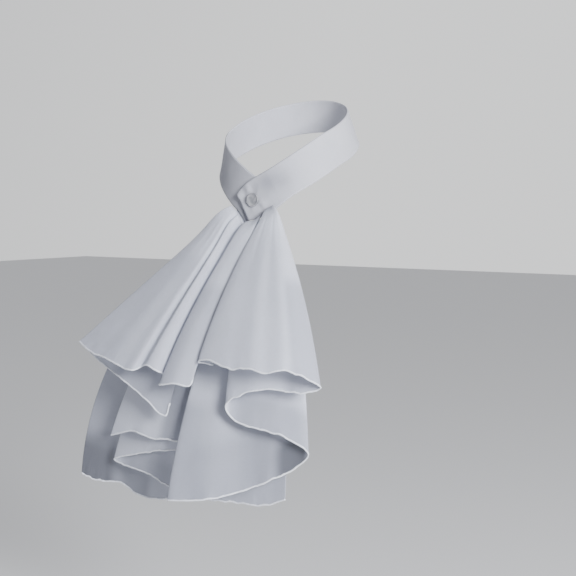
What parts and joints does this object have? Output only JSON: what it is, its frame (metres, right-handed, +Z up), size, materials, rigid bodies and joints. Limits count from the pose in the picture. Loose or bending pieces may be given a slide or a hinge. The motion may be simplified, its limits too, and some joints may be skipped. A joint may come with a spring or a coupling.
{
  "type": "jabot",
  "caption": "White chiffon jabot: layered, gathered ruffles that hang from a straight neckband, crossed in a V at the throat and closed by a button.",
  "frame": {"origin": "middle of the neckband's loop, where the neck carries it", "axes": "+Z up along the wearer's neck, the wearer faces -Y, +X to the wearer's left"},
  "size_m": [0.3031, 0.2298, 0.3845],
  "materials": {
    "band_cloth": "matt, fine even weave",
    "chiffon": "semi-sheer, soft",
    "button": "pearly, glossy"
  },
  "bodies": {
    "root": {"neckband": "band_cloth", "button": "button", "left_ruffle": "chiffon", "right_ruffle": "chiffon", "under_ruffle": "chiffon", "back_ruffle": "chiffon"}
  },
  "joints": []
}
